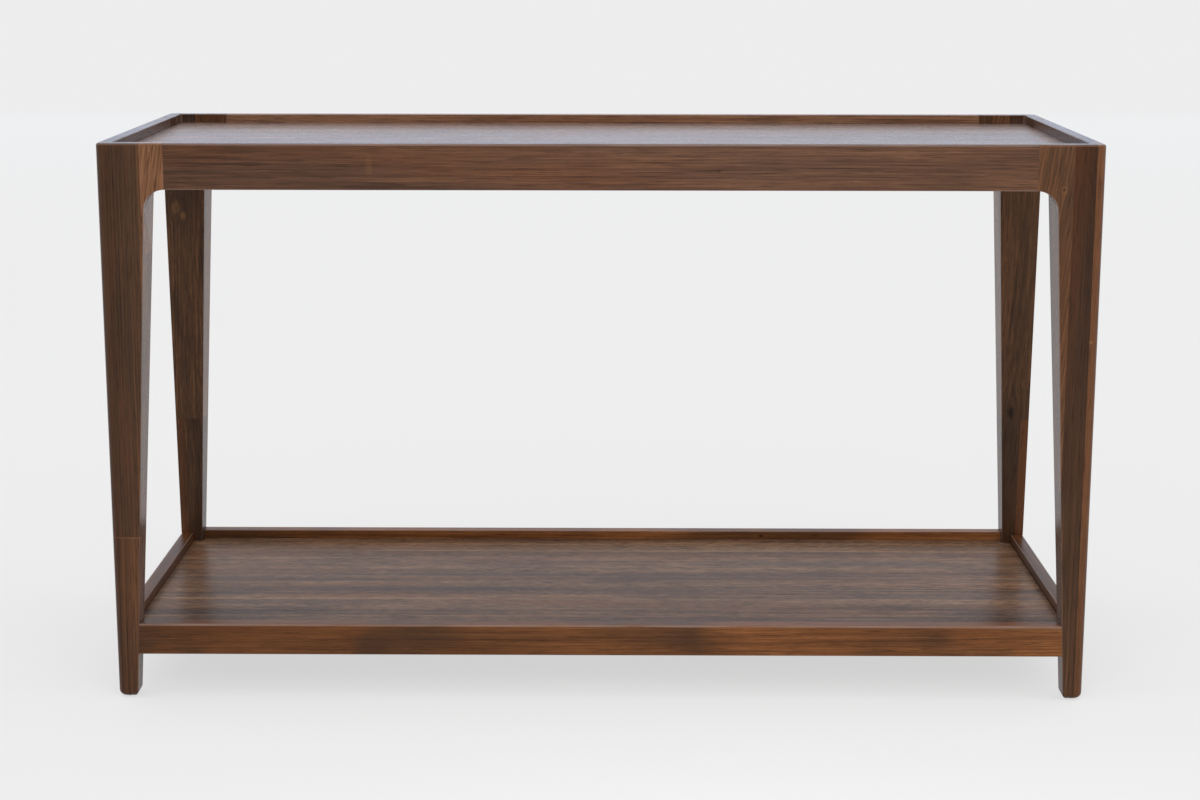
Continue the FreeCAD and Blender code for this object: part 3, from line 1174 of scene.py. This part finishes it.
@dataclass
class Tray:
    """Four rails that stand above a panel as a lip.

    Attributes:
        rail_prefix: What the names of the rails start with.
        panel_node: Node of the panel.
        rail_cut: How the front rail lies in its log.
        rail_shades: Shade of each rail: front, back, left and right; the back rail's lift is painted light.
        rail_finish: Finish of the rails.
        rail_knots: Number of a rail, and a knot in it.
        panel_cut: How the first leaf of the panel lies in its log.
        panel_finish: Finish of the panel.
        panel_shade_blotches: Number of a leaf of the panel, and a dark blotch of painted shade in it.
        end_slope: How far the ends of the rails lean for each unit of height.
        notch: Size of the notches in the corners of the panel.
        panel_corner: Rounding of the upright corners of the panel, if they are round.
        lip: Rounding of the outer edge of the lip.
        easing: Rounding of the other long edges of the rails.
        rail_joint: Rounding of the edges at the joints with the legs.
        panel_easing: Rounding of the edges of the panel.
        joints: Where the leaves of the panel meet, from the front.
        leaf_shades: Shade of each leaf, from the front.
        joint_shades: Shade of the pale line at each joint, from the front.
        joint_width: Width of those lines.
    """

    rail_prefix: str
    panel_node: str
    rail_cut: Cut
    rail_shades: tuple[float, ...]
    rail_finish: Walnut
    rail_knots: tuple[tuple[int, Knot], ...]
    panel_cut: Cut
    panel_finish: Walnut
    panel_shade_blotches: tuple[tuple[int, Knot], ...] = ()
    end_slope: float = 0.0
    notch: float = 0.0
    panel_corner: Rounding | None = None
    lip: Rounding = LIP_ROUNDING
    easing: Rounding = EASING
    rail_joint: Rounding = JOINT_EASING
    panel_easing: Rounding = Rounding(0.0006, 2)
    joints: tuple[float, ...] = ()
    leaf_shades: tuple[float, ...] = (0.0,)
    joint_shades: tuple[float, ...] = ()
    joint_width: float = 0.0034

    def rail(self, node: str) -> Blank:
        """Shapes a rail where its node is.

        Args:
            node: The rail's node.

        Returns:
            The shaped blank.
        """
        low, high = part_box(node)
        size = high - low
        half, thick, height = max(size.xy) / 2, min(size.xy), size.z
        bevel = height * self.end_slope
        outline = [(-half, 0.0), (half, 0.0), (half - bevel, height), (bevel - half, height)]
        blank = Blank()
        blank.prism([Vector((x, 0, z)) for x, z in outline], Vector((0, thick, 0)))
        blank.ease(self.lip, lambda p: near(p.x, 0) and near(p.y, 0) and near(p.z, height))
        blank.ease(self.easing, lambda p: near(p.x, 0))
        blank.ease(self.rail_joint, lambda p: abs(p.x) > half - bevel - self.lip.radius)
        blank.move(self.rail_place(low, high, size.y > size.x))
        return blank

    def rail_place(self, low: Vector, high: Vector, along_y: bool) -> Matrix:
        """The way from a rail made along X, with its outer face on Y = 0, to its place.

        Args:
            low: Lowest corner of its node.
            high: Highest corner of its node.
            along_y: Whether it runs along Y.

        Returns:
            The way, as a matrix.
        """
        across = Axis.X if along_y else Axis.Y
        outside = -1 if low[across] + high[across] < 0 else 1
        origin = Vector((0, 0, low.z))
        origin[across] = low[across] if outside < 0 else high[across]
        turn = Matrix.Rotation(math.pi / 2 if along_y else 0.0, 4, "Z")
        inward = Matrix.Diagonal((1, outside if along_y else -outside, 1, 1))
        return Matrix.Translation(origin) @ turn @ inward

    def panel_outline(self, half: Vector) -> list[tuple[float, float]]:
        """The outline of the panel, with a notch at each corner if it has notches.

        Args:
            half: Half of its width, depth and thickness.

        Returns:
            Its corners.
        """
        outline = []
        for x, y in ((-1, -1), (1, -1), (1, 1), (-1, 1)):
            far_x, far_y = x * half.x, y * half.y
            near_x, near_y = x * (half.x - self.notch), y * (half.y - self.notch)
            notched = [(far_x, near_y), (near_x, near_y), (near_x, far_y)]
            corner = notched if self.notch else [(far_x, far_y)]
            outline += corner if x * y > 0 else corner[::-1]
        return outline

    def panel(self) -> Blank:
        """Shapes the panel where its node is.

        Returns:
            The shaped blank.
        """
        low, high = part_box(self.panel_node)
        half = (high - low) / 2
        blank = Blank()
        outline = [Vector((x, y, -half.z)) for x, y in self.panel_outline(half)]
        blank.prism(outline, Vector((0, 0, 2 * half.z)))
        if self.panel_corner:
            blank.ease(self.panel_corner, lambda p: near(p.z, 0))
        blank.ease(self.panel_easing, lambda p: near(abs(p.z), half.z))
        blank.move(Matrix.Translation((low + high) / 2))
        for number, joint in enumerate(self.joints, 1):
            blank.glue(Axis.Y, joint, number)
        for number, joint in enumerate(self.joints, len(self.leaf_shades)):
            blank.glue(Axis.Y, joint, number, joint + self.joint_width)
        return blank

    def rail_cuts(self) -> list[Cut]:
        """How the rails lie in their logs.

        Returns:
            A cut for each rail, in the order of their numbers.
        """
        cuts = []
        for number, (grain, shade) in enumerate(zip(RAIL_GRAINS.values(), self.rail_shades)):
            first, second = self.rail_cut.heart
            heart = (first, second - HEART_STEP * number)
            tone = replace(self.rail_cut.tone, shade=shade)
            cuts.append(Cut(grain, heart, self.rail_cut.along + RAIL_STEP * number, self.rail_cut.lean, tone))
        return cuts

    def leaf_cuts(self) -> list[Cut]:
        """How the leaves of the panel and the lines between them lie in their log.

        Returns:
            A cut for each leaf and then one for each line, from the front.
        """
        cut = self.panel_cut
        cuts = []
        for number, shade in enumerate(self.leaf_shades):
            tone = replace(cut.tone, shade=shade)
            cuts.append(replace(cut, along=cut.along + LEAF_STEP * number, tone=tone))
        return cuts + [replace(cut, tone=Tone(shade)) for shade in self.joint_shades]

    def build(self) -> Iterator[Piece]:
        """Builds the rails and the panel.

        Yields:
            Each piece.
        """
        nodes = [f"{self.rail_prefix}_{name}" for name in RAIL_GRAINS]
        cuts = self.rail_cuts()
        knots = tuple(cuts[number].sink(knot, nodes[number]) for number, knot in self.rail_knots)
        finish = replace(self.rail_finish, knots=knots).material()
        for node, cut in zip(nodes, cuts):
            yield self.rail(node).piece(node, [cut], finish)
        leaves = self.leaf_cuts()
        knots = tuple(leaves[number].sink(knot, self.panel_node) for number, knot in self.panel_shade_blotches)
        finish = replace(self.panel_finish, knots=knots).material()
        yield self.panel().piece(self.panel_node, leaves, finish)


APRON_WALNUT = Walnut(
    "apron_walnut",
    palette((48, 33, 26), (67, 47, 37), (88, 62, 48), (109, 77, 58), (138, 100, 77), (168, 126, 98)),
    smoke=srgb(74, 60, 46),
    ring_weight=0.10,
    broad=Layer(0.4, 40.0, 0.30, 3.0),
    streaks=Layer(3.2, 640.0, 0.60, 3.0),
    mottle=Layer(8.0, 20.0, 0.16),
    dark_lines=Layer(1.0, 220.0, 0.35, 2.0, 0.60, 0.70),
    dashes=Layer(16.0, 640.0, 0.50, 2.0, 0.54, 0.66),
    smoky=Layer(9.0, 30.0, 0.30, 2.0, 0.55, 0.72),
    # Pale rounded edges: rubbed lacquer and a painted highlight along the lip.
    worn_and_lit=srgb(150, 130, 124),
    wear_and_highlight=0.5,
)
SHELF_RAIL_WALNUT = Walnut(
    "shelf_rail_walnut",
    palette((46, 28, 17), (68, 41, 23), (92, 56, 31), (116, 72, 40), (148, 94, 54), (176, 118, 74)),
    smoke=srgb(58, 42, 31),
    streaks=Layer(3.0, 640.0, 0.65, 3.0),
    mottle=Layer(6.0, 18.0, 0.40),
    smoky=Layer(5.0, 10.0, 0.60, 2.0, 0.48, 0.64),
    roughness=0.30,
    shine=0.15,
    glance=(0.8, 0.8, 0.8),
    haze=0.0,
    # Pale rounded edges: rubbed lacquer and a painted highlight along the lip.
    worn_and_lit=srgb(140, 116, 106),
    wear_and_highlight=0.8,
)
SHELF_VENEER = Walnut(
    "shelf_panel_walnut",
    palette((60, 46, 37), (82, 62, 50), (105, 80, 64), (127, 98, 77), (152, 119, 93), (176, 141, 112)),
    smoke=srgb(66, 62, 64),
    pale=srgb(164, 128, 98),
    # On this panel the knot colour is the colour of the painted shade blotches.
    knot_and_shade_colour=srgb(38, 33, 32),
    streaks=Layer(1.8, 160.0, 0.33, 3.0),
    fibre=Layer(60.0, 480.0, 0.62),
    dashes=Layer(32.0, 280.0, 0.55, 2.0, 0.52, 0.66),
    dark_lines=Layer(1.2, 90.0, 0.35, 2.0, 0.60, 0.68),
    pale_lines=Layer(2.0, 190.0, 0.55, 2.0, 0.65, 0.73),
    smoky=Layer(2.2, 30.0, 0.4, 2.0, 0.50, 0.66),
    long_bend=Layer(0.7, 4.0, 0.005, 1.0),
    short_bend=Layer(5.0, 16.0, 0.0005, 1.0),
    roughness=0.27,
    shine=0.065,
    haze=0.0,
)
TOP_VENEER = replace(
    SHELF_VENEER,
    name="top_panel_walnut",
    shades=palette((50, 38, 31), (68, 50, 40), (88, 65, 51), (108, 80, 62), (136, 102, 78), (162, 124, 96)),
    smoky=replace(SHELF_VENEER.smoky, weight=0.0),
    shine=0.4,
    haze=0.175,
    haze_tint=(0.84, 0.77, 0.93),
)


def painted_shade_blotch(leaf: int, x: float, y: float, radius: float, dark: float) -> tuple[int, Knot]:
    """A long dark blotch of painted shadow and reflection of the legs, right through a leaf of veneer, with
    the number of the leaf.
    """
    return leaf, Knot((x, y, 0.0), radius, dark, squeeze=(0.28, 1.0, 0.0), pull=0.0)


@dataclass
class TrayTop(Tray):
    """The tray top: four aprons between the ears of the legs, and a panel with round corners."""

    rail_prefix: str = "apron"
    panel_node: str = "top_panel"
    # Its fade makes each rail darker towards one end: painted shade that carries on the fall-off of the front
    # light.
    rail_cut: Cut = Cut(Grain.ALONG_X, (0.20, -0.09), 41.0, 0.4, Tone(strength=1.5, fade=0.09))
    # The back apron's lift is painted light: its inner face is made lighter to stand for light that the front
    # lamp gives it too little of.
    rail_shades: tuple[float, ...] = (0.0, 0.64, 0.0, 0.0)
    rail_finish: Walnut = APRON_WALNUT
    rail_knots: tuple[tuple[int, Knot], ...] = (
        (0, Knot((-0.302, FRONT_FACE, 0.736), 0.0040, 0.0, 0.16, (1.2, 0.4, 0.4), 0.0)),
        (0, Knot((0.155, FRONT_FACE, 0.727), 0.0026, 0.6, 0.0, (0.4, 1.0, 1.0), 0.3)),
    )
    panel_cut: Cut = Cut(Grain.ALONG_X, (0.1, -0.3), 61.0, tone=Tone(strength=2.6))
    panel_finish: Walnut = TOP_VENEER
    panel_corner: Rounding | None = Rounding(0.0035, 4)


@dataclass
class TrayShelf(Tray):
    """The tray shelf: four rails fitted between the tapered posts, and a panel notched round them.

    Attributes:
        rail_thickness: Thickness of the rails.
    """

    rail_prefix: str = "shelf_rail"
    panel_node: str = "shelf_panel"
    # Its fade makes each rail darker towards one end: painted shade that carries on the fall-off of the front
    # light.
    rail_cut: Cut = Cut(Grain.ALONG_X, (0.22, -0.08), 81.2, -0.3, Tone(strength=1.2, fade=0.16))
    # The back rail's lift is painted light: its inner face is made lighter to stand for light that the front
    # lamp gives it too little of.
    rail_shades: tuple[float, ...] = (0.06, 0.34, -0.12, -0.12)
    rail_finish: Walnut = SHELF_RAIL_WALNUT
    rail_knots: tuple[tuple[int, Knot], ...] = ((1, Knot((0.251, 0.2095, 0.099), 0.0035, 0.8)),)
    panel_cut: Cut = Cut(Grain.ALONG_X, (-0.1, -0.25), 71.0, tone=Tone(strength=2.0))
    panel_finish: Walnut = SHELF_VENEER
    # Dark blotches near the legs at both ends of the shelf: painted shadow and reflection of the legs.
    panel_shade_blotches: tuple[tuple[int, Knot], ...] = (
        painted_shade_blotch(0, -0.51, -0.170, 0.036, 0.42),
        painted_shade_blotch(1, -0.51, -0.138, 0.032, 0.40),
        painted_shade_blotch(2, -0.52, -0.050, 0.022, 0.30),
        painted_shade_blotch(4, -0.55, 0.190, 0.034, 0.34),
        painted_shade_blotch(0, 0.55, -0.170, 0.036, 0.44),
        painted_shade_blotch(1, 0.54, -0.142, 0.030, 0.40),
        painted_shade_blotch(1, 0.42, -0.118, 0.028, 0.30),
        painted_shade_blotch(3, 0.56, 0.060, 0.016, 0.34),
    )
    rail_thickness: float = 0.019
    joints: tuple[float, ...] = (-0.155, -0.083, 0.020, 0.145)
    leaf_shades: tuple[float, ...] = (-0.10, -0.06, 0.02, 0.05, 0.02)
    joint_shades: tuple[float, ...] = (0.20, 0.48, 0.24, 0.40)

    def __post_init__(self) -> None:
        """Fits the rails and the panel to the taper of the legs."""
        self.end_slope = LegForm().taper
        self.notch = LegForm().width(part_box("shelf_rail_front")[1].z) - self.rail_thickness


@dataclass
class Battens:
    """The cleats and braces under the panels, planed and left bare.

    Attributes:
        colours: Colours of their late wood and early wood.
    """

    colours: tuple[Colour, ...] = palette((78, 55, 39), (108, 79, 58))

    def build(self) -> Iterator[Piece]:
        """Dresses the cleats and braces.

        Yields:
            Each piece.
        """
        finishes = {
            grain: Plain(f"batten_{grain.name.lower()}", self.colours, grain).material()
            for grain in (Grain.ALONG_X, Grain.ALONG_Y)
        }
        for name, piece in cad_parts.items():
            if name.endswith("_brace") or "_cleat_" in name and not name.endswith("_screws"):
                low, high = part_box(name)
                size = high - low
                dress(piece, finishes[Grain.ALONG_Y if size.y > size.x else Grain.ALONG_X])
                yield piece


@dataclass
class Fixings:
    """The dowels in the joints, the screws through the cleats and the glides under the feet.

    Attributes:
        dowels: Beech, planed.
        screws: Steel with cloudy zinc plating and fine scratches.
        glide: Moulded nylon, scuffed where it slides on the floor.
    """

    dowels: Plain = Plain("beech", palette((168, 124, 86), (198, 154, 112)))
    screws: Plain = Plain(
        "zinc_plate",
        palette((138, 132, 116), (176, 172, 160)),
        coarse=(260.0, 260.0, 260.0),
        fine=(900.0, 5200.0, 900.0),
        stops=(0.35, 0.62),
        figure=(1.0, 0.0),
        roughness=0.36,
        uneven=(0.24, 0.10),
        relief=(0.00005, 0.3),
        metal=1.0,
    )
    glide: Plain = Plain(
        "nylon",
        palette((33, 31, 28), (74, 70, 66)),
        coarse=(420.0, 1600.0, 420.0),
        fine=(2600.0, 2600.0, 2600.0),
        details=(3.0, 1.0),
        stops=(0.45, 0.75),
        figure=(1.0, 0.0),
        roughness=0.58,
        uneven=(0.25, 0.10),
        relief=(0.0001, 0.35),
    )

    def build(self) -> Iterator[Piece]:
        """Dresses the fixings.

        Yields:
            Each piece.
        """
        finishes = {mark: plain.material() for mark, plain in vars(self).items()}
        for name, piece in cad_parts.items():
            for mark, finish in finishes.items():
                if mark in name:
                    dress(piece, finish)
                    yield piece


@dataclass(frozen=True)
class Sun:
    """A broad lamp far away, whose light is even.

    Attributes:
        name: Name of the lamp.
        level: Light that it adds to a surface that faces it, as a share of full light.
        spread: Width of the lamp in degrees.
        tilt: Degrees from straight above.
        turn: Degrees round the table: 0 is in front of it, 90 to the right and 180 behind it.
    """

    name: str
    level: float
    spread: float
    tilt: float
    turn: float

    def hang(self) -> None:
        """Hangs the lamp."""
        lamp = bpy.data.lights.new(self.name, "SUN")
        lamp.energy = self.level * math.pi
        lamp.angle = math.radians(self.spread)
        put(self.name, lamp).rotation_euler = (math.radians(self.tilt), 0, math.radians(self.turn))


@dataclass(frozen=True)
class Softbox:
    """A softbox near the table.

    Attributes:
        name: Name of the lamp.
        level: Light that it adds where it aims, as a share of full light.
        size: Its width and height.
        place: Where it hangs.
        aim: Where it points.
        mirrored: Whether the lacquer shows it.
        colour: Its colour.
    """

    name: str
    level: float
    size: tuple[float, float]
    place: Triple
    aim: Triple
    mirrored: bool = False
    colour: Colour = WHITE

    def hang(self) -> None:
        """Hangs the lamp, out of the camera's sight."""
        lamp = bpy.data.lights.new(self.name, "AREA")
        lamp.color = self.colour
        lamp.shape = "RECTANGLE"
        lamp.size, lamp.size_y = self.size
        way = Vector(self.aim) - Vector(self.place)
        lamp.energy = self.level * math.pi**2 * way.length_squared
        holder = put(self.name, lamp)
        holder.location = self.place
        holder.rotation_euler = way.to_track_quat("-Z", "Y").to_euler()
        holder.visible_camera = False
        holder.visible_glossy = self.mirrored


@dataclass
class Studio:
    """A pale floor under an even sky, lit softly from above and from both sides.

    Attributes:
        backdrop: Colour of the floor and of the sky behind the table.
        floor_size: Width and depth of the floor.
        sky: Light from the sky, as a share of full light.
        shadow_share: How much of the shadow on the floor shows.
        lamps: The lamps.
    """

    backdrop: Colour = srgb(239, 239, 239)
    floor_size: float = 120.0
    sky: float = 0.26
    shadow_share: float = 0.28
    lamps: tuple[Sun | Softbox, ...] = (
        Sun("overhead_light", 0.54, 100, 10, 0),
        Sun("right_light", 0.20, 70, 66, 100),
        Sun("left_light", 0.19, 70, 66, -100),
        Softbox("back_window", 0.07, (16.0, 1.2), (0, 9, 1.55), (0, 0, 0.76), True, (0.22, 0.46, 0.92)),
        Softbox("front_softbox", 0.52, (0.7, 0.6), (0.16, -1.10, 0.72), (0.14, -0.22, 0.5)),
    )

    def show(self, bench: Bench, output: str, share: float, light: Node, shown: Node) -> None:
        """Lights the table with one shader, and shows another to the camera and in reflections.

        Args:
            bench: The node tree.
            output: Type of its output node.
            share: How much of the second shader is shown.
            light: The shader that lights the table.
            shown: The shader that is shown.
        """
        path = bench.node("LightPath", {}).outputs
        seen = path["Is Camera Ray"]
        for name in ("Is Glossy Ray", "Is Transmission Ray"):
            seen = bench.math("MAXIMUM", seen, path[name])
        shaders = dict(enumerate((bench.math("MULTIPLY", seen, share), light.outputs[0], shown.outputs[0])))
        bench.node(output, {"Surface": bench.node("MixShader", shaders).outputs["Shader"]})

    def light_world(self) -> None:
        """Gives the world an even pale sky."""
        world = bpy.data.worlds.new("studio_sky")
        bench = Bench(world)
        bench.tree.nodes.clear()
        light = bench.node("Background", {"Color": WHITE, "Strength": self.sky})
        self.show(bench, "OutputWorld", 1.0, light, bench.node("Background", {"Color": self.backdrop}))
        bpy.context.scene.world = world

    def paper(self) -> Material:
        """The floor's paper, whose shadow is softened by its own pale glow.

        Returns:
            The material.
        """
        paper = bpy.data.materials.new("studio_paper")
        bench = Bench(paper)
        bench.tree.nodes.clear()
        matt, glow = (bench.node(kind, {"Color": self.backdrop}) for kind in ("BsdfDiffuse", "Emission"))
        self.show(bench, "OutputMaterial", 1 - self.shadow_share, matt, glow)
        return paper

    def lay_floor(self) -> None:
        """Lays the floor."""
        mesh = bpy.data.meshes.new("studio_floor")
        half = self.floor_size / 2
        corners = [(-half, -half, 0), (half, -half, 0), (half, half, 0), (-half, half, 0)]
        mesh.from_pydata(corners, [], [range(len(corners))])
        mesh.materials.append(self.paper())
        floor = put("studio_floor", mesh)

    def build(self) -> None:
        """Sets up the floor, the sky and the lamps."""
        self.light_world()
        self.lay_floor()
        for lamp in self.lamps:
            lamp.hang()


@dataclass
class Viewpoint:
    """The camera, as the photograph was taken.

    Attributes:
        place: Where it stands.
        pitch: Degrees that it looks down.
        turn: Degrees that it looks to the left.
        roll: Degrees that it leans.
        lens: Focal length in millimetres.
        shift: How far the picture is shifted up, as a share of its width.
        sensor: Width of the sensor in millimetres.
        reach: How far it sees.
    """

    place: Triple = (0.01714, -2.81463, 1.02689)
    pitch: float = 10.18
    turn: float = 0.39
    roll: float = -0.05
    lens: float = 59.74
    shift: float = -0.0875
    sensor: float = 36.0
    reach: float = 500.0

    def build(self) -> None:
        """Makes the camera and gives it to the scene."""
        data = bpy.data.cameras.new("photo_camera")
        data.lens = self.lens
        data.sensor_width = self.sensor
        data.shift_y = self.shift
        data.clip_end = self.reach
        camera = put("photo_camera", data)
        camera.location = self.place
        camera.rotation_euler = [math.radians(angle) for angle in (90 - self.pitch, self.roll, self.turn)]
        bpy.context.scene.camera = camera


def main() -> None:
    """Builds the table piece by piece, then the studio and the camera."""
    logging.basicConfig(level=logging.INFO, format="%(message)s")
    for assembly in (LegSet(), TrayTop(), TrayShelf(), Battens(), Fixings()):
        for piece in assembly.build():
            reporter.info("%s: %s", type(assembly).__name__, piece.name)
    Studio().build()
    Viewpoint().build()
    bpy.context.scene.view_settings.view_transform = "Standard"


if __name__ == "__main__":
    main()
